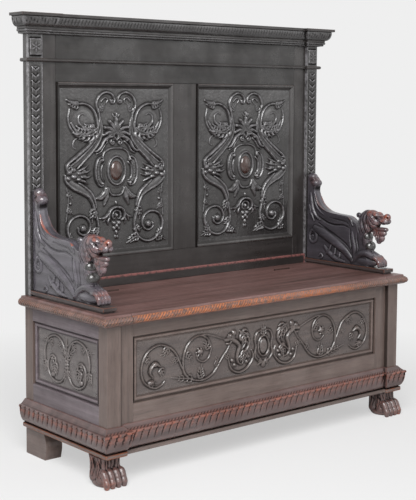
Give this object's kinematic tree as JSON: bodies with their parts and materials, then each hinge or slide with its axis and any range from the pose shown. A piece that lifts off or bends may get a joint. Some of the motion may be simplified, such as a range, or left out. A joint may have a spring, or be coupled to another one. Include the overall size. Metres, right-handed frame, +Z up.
{
  "type": "hall bench",
  "caption": "Carved dark-stained hall bench: panelled chest with lift-up seat, lion-paw front feet, winged-lion arms and a tall panelled back under a cornice.",
  "frame": {"origin": "middle of the outer box, on the floor", "axes": "+X to the sitter's left as seen from the front (right in the picture), -Y towards the viewer at the front, +Z up"},
  "size_m": [1.3754, 0.4824, 1.409],
  "materials": {
    "frame_wood": "dark stained, waxed",
    "carved_wood": "dark stained, waxed carving",
    "seat_wood": "worn reddish brown polish",
    "plain_boards": "unfinished",
    "hinge_iron": "blackened"
  },
  "bodies": {
    "carcase": {"arm_plinth_left": "frame_wood", "arm_plinth_right": "frame_wood", "astragal": "frame_wood", "back_bottom_rail": "frame_wood", "back_muntin": "frame_wood", "back_panel_left": "carved_wood", "back_panel_moulding_left": "frame_wood", "back_panel_moulding_right": "frame_wood", "back_panel_right": "carved_wood", "back_skirting": "frame_wood", "back_stile_left": "frame_wood", "back_stile_right": "frame_wood", "back_top_rail": "frame_wood", "base_moulding_front": "carved_wood", "base_moulding_left": "carved_wood", "base_moulding_right": "carved_wood", "base_plinth": "frame_wood", "chest_back_board": "plain_boards", "chest_floor_board": "plain_boards", "cornice": "carved_wood", "end_bottom_rail_left": "frame_wood", "end_bottom_rail_right": "frame_wood", "end_panel_left": "carved_wood", "end_panel_moulding_left": "frame_wood", "end_panel_moulding_right": "frame_wood", "end_panel_right": "carved_wood", "end_top_rail_left": "frame_wood", "end_top_rail_right": "frame_wood", "front_bottom_rail": "frame_wood", "front_panel": "carved_wood", "front_panel_moulding": "frame_wood", "front_post_left": "frame_wood", "front_post_right": "frame_wood", "front_stile_left": "frame_wood", "front_stile_right": "frame_wood", "front_top_rail": "frame_wood", "griffin_arm_left": "carved_wood", "griffin_arm_right": "carved_wood", "hinge_fixed_leaf_left": "hinge_iron", "hinge_fixed_leaf_right": "hinge_iron", "hinge_pin_left": "hinge_iron", "hinge_pin_right": "hinge_iron", "paw_foot_left": "carved_wood", "paw_foot_right": "carved_wood", "pilaster_left": "carved_wood", "pilaster_right": "carved_wood", "rear_foot_left": "frame_wood", "rear_foot_right": "frame_wood", "rear_post_left": "frame_wood", "rear_post_right": "frame_wood", "seat_end_left": "seat_wood", "seat_end_right": "seat_wood", "seat_hinge_rail": "seat_wood"},
    "lid": {"seat_lid": "seat_wood", "lid_cleat_left": "plain_boards", "lid_cleat_right": "plain_boards", "hinge_lid_leaf_left": "hinge_iron", "hinge_lid_leaf_right": "hinge_iron"}
  },
  "joints": [
    {"name": "lid_hinge", "type": "hinge", "parent": "carcase", "child": "lid", "pos_m": [0, 0.13065, 0.5165], "axis": [-1, 0, 0], "range_deg": [0, 98]}
  ]
}
